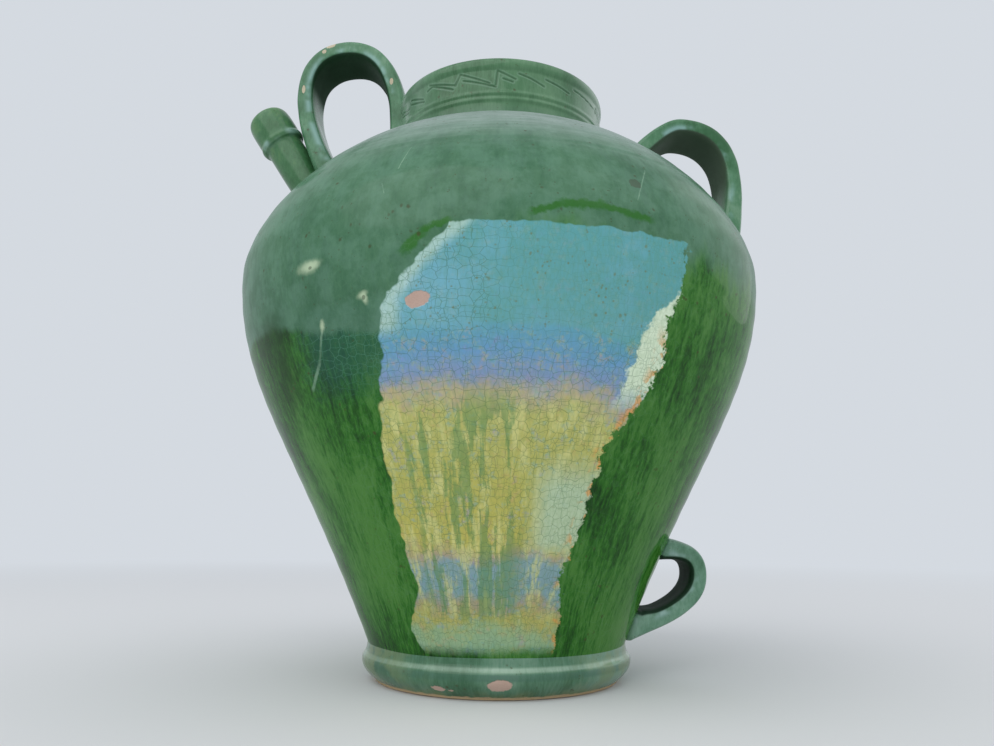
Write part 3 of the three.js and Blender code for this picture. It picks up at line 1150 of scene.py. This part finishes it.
def layShoulderReflection(coat, run):
    finish, tone = coat.finish, shoulderReflection
    z, degrees = finish.z, finish.degrees
    far, near, left, right = tone["fadeAngles"]
    wide, narrow = tone["fade"]
    fade = degrees.rise(far, near) * degrees.rise(right, left) * (narrow - wide) + wide
    drips = finish.sway(*tone["drips"], stretch=(1, 1, 3.5), on=finish.wrapped) * fade * 2.2
    share = (z - finish.follow(degrees, tone["start"]) + finish.sway(0.04) * 0.01 + drips) / fade
    cloudy = finish.noise(*tone["clouds"], shift=(6, 6, 1)).rise(0.36, 0.64) * 0.65 + run * 0.35
    # painted sky reflection over the shoulder
    coat.lay(share.rise(0, 1) * tone["show"], finish.blend(cloudy, tone["low"], tone["high"]), 0.2)
    turned = finish.point(finish.radius, z, degrees * 0.00012)
    lines = finish.noise(*tone["rings"], on=turned).rise(0.36, 0.64)
    # painted reflection, palest on the crown, over the real wheel rings
    crown = (z + finish.sway(0.03, 2.0) * 0.012).rise(*tone["crownHeights"])
    shade = finish.blend(lines * 0.6 + cloudy * 0.4, tone["crownLow"], tone["crownHigh"])
    coat.lay(crown * tone["crownShow"], shade, 0.3)
    coat.height = coat.height + lines * crown * tone["ringDepth"]


# the outline of the painted reflection on the front
def lustreReflectionMask(finish):
    z, degrees = finish.z, finish.degrees
    left, right = finish.follow(z, lustreReflection["left"]), finish.follow(z, lustreReflection["right"])
    broad = finish.sway(0.012, 2.0, 0.5, shift=(3, 1, 8)) * 4
    leafy = finish.sway(0.0055, 4.0, 0.7, shift=(1, 9, 4)) * 7
    wobble = finish.sway(0.015, 3.0, 0.6) * 0.008
    fromLeft = (degrees - left + broad).rise(-0.3, 0.3)
    fromRight = (right - degrees + broad + leafy).rise(-0.4, 0.4)
    fromTop = (lustreReflection["top"] - z + wobble).rise(-0.0006, 0.0006)
    fromFoot = (z - lustreReflection["bottom"] + wobble).rise(0, 0.01)
    return fromLeft * fromRight * fromTop * fromFoot, left, right


# colours of the painted reflection: bands by height, lustre tints and painted highlights
def lustreReflectionColour(finish, left, right):
    look, z, degrees, noise, sway = lustreReflection, finish.z, finish.degrees, finish.noise, finish.sway
    heights = {name: z.rise(*pair) for name, pair in look.items() if name.endswith(("Top", "Foot"))}
    film = None

    def lay(mask, shade):
        return finish.blend(mask, film, look.get(shade, shade) if isinstance(shade, str) else shade)

    first, last = look["bands"][0][0], look["bands"][-1][0]
    drift = sway(0.02, 3.0, 0.6) * heights["driftTop"] * 0.034
    share = (z + drift + degrees.rise(10, 34) * 0.012 - first) / (last - first)
    film = finish.ramp(share, [((place - first) / (last - first), shade) for place, shade in look["bands"]])
    low = heights["lowTop"]
    # painted sky reflection, paler on the left of the patch
    pale = noise(0.03, 3.0, 0.6, shift=(8, 2, 6)).rise(0.46, 0.66) * 0.4 + degrees.rise(0, -14) * 0.5
    film = lay((1 - low) * pale, "paleSky")
    hues = finish.ramp(noise(0.014, 3.0, 0.65, shift=(4, 4, 4)), look["hues"])
    film = lay(noise(0.0045, 3.0, 0.7).rise(0.44, 0.7) * (0.1 + low * 0.34), hues)

    gold = heights["goldFoot"] * heights["goldTop"]
    bright = noise(0.008, 3.0, 0.65, stretch=(1, 1, 2.6), shift=(5, 1, 2), on=finish.wrapped).rise(0.47, 0.68)
    film = lay(bright * gold * 0.75, "lemon")
    broad = noise(0.0125, 3.0, 0.6, stretch=(1, 1, 5.5), shift=(2, 5, 3), on=finish.wrapped)
    broken = sway(0.005, 3.0, 0.7) * 0.16
    runs = (broad + broken).rise(0.51, 0.58) * degrees.rise(10, 2) * degrees.rise(-25, -19)
    film = lay(runs * gold * 0.62, "streak")

    ragged = sway(0.009, 3.0, 0.65) * 9
    inset = right - degrees
    width = z.rise(0.258, 0.214) * 6.5
    # painted highlight near the right edge of the upper patch
    cream = (width - inset - ragged * 0.8).rise(-0.5, 0.7) * (z + ragged * 0.001).rise(*look["creamHighlightFoot"])
    milk = degrees.rise(6, 14) * (z + ragged * 0.0012).rise(*look["milkFoot"]) * heights["milkTop"]
    film = lay(milk * 0.85, "milk")
    film = lay(cream * heights["creamHighlightTop"], "cream")
    # painted highlight along the left edge of the patch
    edge = (degrees - left + ragged * 0.3).rise(4.5, 1.0) * heights["edgeFoot"]
    film = lay(edge * 0.45, "cream")
    ember = noise(0.008, 2.0, 0.6).rise(0.5, 0.6) * inset.rise(3.5, 0.5)
    film = lay(ember * heights["emberTop"] * 0.8, "ember")
    return lay(noise(0.0016, 2.0, 0.6, stretch=(1, 1, 4)).rise(0.35, 0.7) * 0.2, "streak")


# fine cracks that run mostly upright and level, drawn on the unrolled front
def lustreCracks(finish):
    around = finish.degrees * lustreReflection["metresPerDegree"] * 0.8  # cells a little wide
    unrolled = finish.point(around, finish.z, 0.0)
    bent = finish.stir(0.006, 0.0024, unrolled)
    coarse, fine = (finish.cellEdges(size, bent, 0.62, True) for size in lustreReflection["cells"])
    patches = finish.noise(0.016, 2.0).rise(0.4, 0.6)
    return (coarse.rise(0.046, 0.01) * 0.8).atLeast(fine.rise(0.062, 0.014) * patches * 0.8)


# lays the painted reflection, glossy and half metallic, with real cracks and specks over it
def layLustreReflection(coat, specks):
    finish = coat.finish
    mask, left, right = lustreReflectionMask(finish)
    film = lustreReflectionColour(finish, left, right)
    upper = finish.z.rise(*lustreReflection["upper"])
    calm = finish.degrees.rise(-6, 6) * upper
    film = finish.blend(lustreCracks(finish) * (0.58 - calm * 0.42), film, lustreReflection["crackle"])
    spots = specks.atLeast(brownSpecks(finish, 0.0034, 2, 0.53)) * (0.3 + upper * 0.35)
    coat.lay(mask, finish.blend(spots, film, lustreReflection["speck"]), lustreReflection["rough"], lustreReflection["metal"])


# spots are given by centre, radii and tilt as seen from the front
bodyMarks = {
    # dark blotches on the left side
    "darkBlotches": {
        "shade": bodyGlaze["pooled"], "show": 0.7, "edge": (0.4, 0.9),
        "spots": [
            ((-0.156, -0.12, 0.232), (0.02, 0.05, 0.017), 40),
            ((-0.142, -0.125, 0.205), (0.015, 0.05, 0.04), 10),
        ],
    },
    "flaws": {
        "shade": (0.46, 0.58, 0.38), "show": 0.9, "edge": (0.28, 0.95), "rough": 0.2,
        "spots": [
            ((-0.1194, -0.162, 0.268), (0.012, 0.02, 0.0056), 4),
            ((-0.116, -0.164, 0.2685), (0.006, 0.02, 0.0036), 0),
            ((-0.0822, -0.1785, 0.2455), (0.0048, 0.01, 0.003), 25),
            ((-0.0806, -0.1785, 0.2435), (0.0026, 0.01, 0.005), 20),
            ((-0.1097, -0.1582, 0.2312), (0.0024, 0.01, 0.0052), 0),
        ],
    },
    "pits": {
        "shade": (0.06, 0.085, 0.05), "show": 0.6, "edge": (0.3,),
        "spots": [
            ((-0.118, -0.163, 0.2672), (0.0013, 0.02, 0.001), 0),
            ((-0.0812, -0.178, 0.244), (0.0011, 0.01, 0.0014), 0),
        ],
    },
    "stains": {
        "shade": (0.06, 0.085, 0.05), "show": 0.7, "edge": (0.5,),
        "spots": [((0.0826, -0.1789, 0.318), (0.0042, 0.02, 0.0036), 0)],
    },
    "chips": [((-0.0481, -0.189, 0.2399), (0.0078, 0.012, 0.005), 14)],
    # dark strokes of the full green across the shoulder's painted reflection: from and to as x and height,
    # and half the width
    "darkStrokes": [
        ((-0.0575, 0.268), (-0.044, 0.2785), 0.0045),
        ((-0.046, 0.28), (-0.029, 0.285), 0.003),
        ((0.017, 0.289), (0.036, 0.2955), 0.0032),
        ((0.034, 0.2955), (0.061, 0.2975), 0.0042),
        ((0.059, 0.2975), (0.092, 0.293), 0.0034),
    ],
    "scratches": [
        ((-0.11, 0.229), (-0.1125, 0.211), 0.0012),
        ((-0.1125, 0.211), (-0.1195, 0.1955), 0.0016),
        ((0.0916, 0.3329), (0.0833, 0.305), 0.0006),
        ((-0.056, 0.344), (-0.0625, 0.324), 0.0005),
        ((-0.072, 0.314), (-0.07, 0.306), 0.0005),
    ],
    "scratchShade": (0.24, 0.4, 0.27),
    "tealFrom": (-46, -35),  # degrees round the jar
    "tealHeights": (0.178, 0.212, 0.236, 0.246),
    "tealShade": (0.018, 0.098, 0.062),
    "tealLines": (0.085, 0.255, 0.175),
}


# a darker, bluish zone with pale cracks beside the patch
def layTeal(coat):
    finish, marks = coat.finish, bodyMarks
    drift = finish.sway(0.014, 3.0, 0.62)
    low, full, fading, top = marks["tealHeights"]
    height = finish.z + drift * 0.012
    zone = (finish.degrees + drift * 10).rise(*marks["tealFrom"]) * finish.degrees.rise(0, -4)
    zone = zone * height.rise(low, full) * height.rise(top, fading)
    coat.lay(zone * 0.72, marks["tealShade"])
    coat.lay(zone * lustreCracks(finish) * 0.6, marks["tealLines"])


def laySpots(coat, mark):
    for spot in mark["spots"]:
        coat.lay(coat.finish.spot(*spot, *mark["edge"]) * mark["show"], mark["shade"], mark.get("rough"))


def glazeBody():
    look, marks = bodyGlaze, bodyMarks
    finish = Finish("bodyGlaze")
    coat, run = startCoat(finish, look)
    layTeal(coat)
    layShoulderReflection(coat, run)
    for start, end, width in marks["darkStrokes"]:
        coat.lay(finish.stroke(start, end, width, width * 1.8) * 0.85, look["full"])
    laySpots(coat, marks["darkBlotches"])
    belly = finish.z.rise(0.3, 0.27) * abs(finish.degrees).rise(60, 35)
    layCrackle(coat, look, run, 0.1 + belly * 0.5)
    layLustreReflection(coat, laySpecks(coat, look))
    fading = finish.noise(0.009, 2.0, 0.6).rise(0.36, 0.6) * 0.35 + 0.25
    for scratch in marks["scratches"]:
        coat.lay(finish.stroke(*scratch) * fading, marks["scratchShade"], 0.3)
    for name in ("flaws", "pits", "stains"):
        laySpots(coat, marks[name])
    layBareClay(coat, marks["chips"])
    layInnerGlaze(coat, run)
    return coat.fire(look["sheen"])


neckGlaze = {
    **bodyGlaze,
    "pooled": (0.03, 0.105, 0.036),
    "full": (0.075, 0.19, 0.088),
    "thin": (0.12, 0.255, 0.13),
    "weights": (0.62, 0.2, 0.18),
    "contrast": 0.16,
    "runs": (0.012, 4.0, 0.62),
    "runStretch": 1.5,
    "roughness": 0.17,
    "crackleShow": 0.1,
    # painted highlight on the raised burr beside each incised stroke
    "burr": (0.2, 0.34, 0.24),
    "stroke": (0.02, 0.085, 0.03),
    "foot": (0.135, 0.225, 0.17),  # dull and paler where the neck meets the shoulder
    "footHeights": (0.428, 0.412),
    "sides": (0.22, 0.35, 0.25),  # painted light: paler towards the two handles, at the left and right of the neck
    "dull": 0.08,
}


def glazeNeck():
    look = neckGlaze
    finish = Finish("neckGlaze")
    coat, run = startCoat(finish, look)
    layCrackle(coat, look, run)
    laySpecks(coat, look)
    coat.lay(finish.z.rise(*look["footHeights"]) * 0.5, look["foot"])
    # painted light on the left and right of the neck
    coat.lay(abs(abs(finish.degrees) - 90).rise(65, 15) * 0.72, look["sides"])
    # painted highlight on the raised burr
    coat.lay(finish.attribute("burr") * 0.35, look["burr"])
    coat.lay(finish.attribute("stroke") * 0.7, look["stroke"])
    layInnerGlaze(coat, run)
    return coat.fire(look["sheen"])


footGlaze = {
    **neckGlaze,
    "pooled": (0.038, 0.12, 0.056),
    "full": (0.095, 0.215, 0.13),
    "thin": (0.175, 0.305, 0.215),
    # painted dark reflection of the ground, in a band below the top of the moulding
    "band": (0.04, 0.11, 0.085),
    "bandHeights": (0.012, 0.0145, 0.0168, 0.0182),
    "bandShow": 0.55,
    "crest": (0.5, 0.66, 0.52),  # painted highlight along the top of the moulding
    "crestHeights": (0.018, 0.0192, 0.0204, 0.0222),
    "crestShow": 0.6,
    "low": (0.2, 0.25, 0.1),
    "lowHeights": (0.0085, 0.002),
    "lowSides": (18, 55),
    "bareBelow": 0.0024,
    "chips": [
        ((0.0024, -0.1004, 0.0105), (0.008, 0.006, 0.0043), 2),
        ((-0.0388, -0.0927, 0.007), (0.0062, 0.006, 0.0022), -6),
        ((-0.0295, -0.096, 0.0062), (0.003, 0.005, 0.0014), -6),
    ],
}


def glazeFoot():
    look = footGlaze
    finish = Finish("footGlaze")
    coat, run = startCoat(finish, look)
    # a painted dark reflection band, and a painted highlight above it
    for name in ("band", "crest"):
        low, full, fading, high = look[name + "Heights"]
        zone = finish.z.rise(low, full) * finish.z.rise(high, fading)
        coat.lay(zone * (0.4 + run * 0.6) * look[name + "Show"], look[name])
    low = finish.z.rise(*look["lowHeights"]).atLeast(abs(finish.degrees).rise(*look["lowSides"]) * 0.8)
    coat.lay(low * finish.noise(0.02, 3.0, 0.6).rise(0.4, 0.58) * 0.6, look["low"])
    layCrackle(coat, look, run)
    laySpecks(coat, look)
    layBareClay(coat, look["chips"], look["bareBelow"])
    return coat.fire(look["sheen"])


spoutGlaze = {
    **neckGlaze,
    "pooled": (0.028, 0.105, 0.034),
    "full": (0.064, 0.178, 0.076),
    "thin": (0.125, 0.255, 0.095),
    # painted highlight round the spout's ring
    "edge": (0.3, 0.47, 0.42),
    "edgeGlintShow": 0.75,
    "turned": False,
}
handleGlaze = {
    **neckGlaze,
    "pooled": (0.032, 0.12, 0.046),
    "full": (0.084, 0.218, 0.112),
    "thin": (0.18, 0.325, 0.205),
    # painted highlight along the inner edges of the side faces
    "edge": (0.32, 0.52, 0.5),
    "edgeGlintShow": 0.55,
    "turned": False,
    # painted shade on the inner faces under the arch
    "under": (0.014, 0.033, 0.017),
    "underShadeShow": 0.9,
    "underDull": 0.92,
    "dull": 0.1,
}
# lighter painted shade under the shoulder handle
shoulderHandleGlaze = {**handleGlaze, "under": (0.072, 0.098, 0.068), "edgeGlintShow": 0.65}
# painted sky reflection: paler, bluer glaze colours on the tipping handle
tippingHandleGlaze = {
    **handleGlaze,
    "pooled": (0.06, 0.165, 0.085),
    "full": (0.145, 0.3, 0.2),
    "thin": (0.27, 0.44, 0.33),
    "edge": (0.42, 0.6, 0.58),
    "edgeGlintShow": 0.75,
}
neckHandleChips = [
    ((-0.147, -0.013, 0.518), (0.0042, 0.008, 0.0022), 20),
    ((-0.1525, -0.0135, 0.5125), (0.0022, 0.006, 0.0018), 40),
    ((-0.1685, -0.016, 0.4771), (0.0016, 0.006, 0.0042), 0),
    ((-0.0932, -0.017, 0.483), (0.0016, 0.005, 0.0032), 0),
]


def glazeHandle(name, look, chips=()):
    finish = Finish(name)
    coat, run = startCoat(finish, look)
    layCrackle(coat, look, run)
    laySpecks(coat, look)
    # painted highlight along the inner edges, broken up by noise
    glintBreakup = finish.noise(0.02, 2.0, 0.55).rise(0.42, 0.6)
    coat.lay(finish.attribute("edge") * glintBreakup * look["edgeGlintShow"], look["edge"])
    # painted shade on the inner faces under the arch, which also lose their gloss
    if "under" in look:
        under = finish.attribute("under").rise(0.3, 0.75)
        coat.lay(under * look["underShadeShow"], look["under"])
        coat.dull = under * (look["underDull"] - look["dull"]) + look["dull"]
    layBareClay(coat, chips, body=wornClay)
    return coat.fire(look["sheen"])


print("mixing the glazes")
for piece, node, slot, coat in (
    (body, "jar_body", "body_glaze", glazeBody()),
    (neck, "neck_collar", "collar_glaze", glazeNeck()),
    (foot, "foot_moulding", "foot_glaze", glazeFoot()),
    (pouringSpout, "pouring_spout", "spout_glaze", glazeHandle("spoutGlaze", spoutGlaze)),
    (neckHandle, "neck_handle", "handle_glaze", glazeHandle("neckHandleGlaze", handleGlaze, neckHandleChips)),
    (
        shoulderHandle, "shoulder_handle", "handle_glaze",
        glazeHandle("shoulderHandleGlaze", shoulderHandleGlaze),
    ),
    (tippingHandle, "tipping_handle", "handle_glaze", glazeHandle("tippingHandleGlaze", tippingHandleGlaze)),
):
    piece.data.materials.append(coat)
    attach(piece, "root")
    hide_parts(node)


# floor, light and camera

studio = {
    "background": (0.66, 0.7, 0.75),
    "floor": (0.7, 0.7, 0.7),
    "fade": (0.7, 2.6),  # distances between which the floor turns into the background
    "lamps": (  # name, place, size and power
        ("softKey", (-1.3, -1.9, 2.4), 3.8, 45),
        ("softSide", (2.3, 1.1, 1.5), 2.4, 7),
        ("softFill", (1.7, -1.5, 2.9), 3.0, 11),
    ),
}


def layFloor():
    bpy.ops.mesh.primitive_circle_add(vertices=96, radius=30, fill_type="NGON")
    floor = takeNew("studioFloor")
    finish = Finish("paleFloor")
    plain = finish.node("BsdfDiffuse", sockets={"Color": colour(studio["floor"])})
    far = finish.node("Emission", sockets={"Color": colour(studio["background"]), "Strength": 1.0})
    finish.show(finish.radius.rise(*studio["fade"]), plain, far)
    floor.data.materials.append(finish.material)


def setWorld():
    world = bpy.data.worlds.new("studioWorld")
    world.use_nodes = True
    background = world.node_tree.nodes["Background"]
    background.inputs["Color"].default_value = colour(studio["background"])
    background.inputs["Strength"].default_value = 1.0
    bpy.context.scene.world = world


def hangLamp(name, place, size, power):
    bpy.ops.object.light_add(type="AREA", location=place)
    lamp = takeNew(name)
    lamp.data.shape = "DISK"
    lamp.data.size = size
    lamp.data.energy = power
    lamp.rotation_euler = (Vector((0, 0, 0.25)) - Vector(place)).to_track_quat("-Z", "Y").to_euler()


photoView = {
    "place": (-0.00115, -0.638, 0.1072),
    "lens": 28.97,
    "pitch": 11.23,  # degrees above level
    "roll": 0.48,
}


def setCamera():
    bpy.ops.object.camera_add(location=photoView["place"])
    camera = takeNew("photoCamera")
    camera.data.lens = photoView["lens"]
    camera.data.sensor_width = 36
    camera.data.clip_start = 0.02
    turn = Matrix.Rotation(math.radians(90 + photoView["pitch"]), 3, "X")
    roll = Matrix.Rotation(math.radians(photoView["roll"]), 3, "Z")
    camera.rotation_euler = (turn @ roll).to_euler()
    bpy.context.scene.camera = camera


print("setting the studio")
layFloor()
setWorld()
for lamp in studio["lamps"]:
    hangLamp(*lamp)
setCamera()
bpy.context.scene.view_settings.view_transform = "Standard"

print("jar finished")
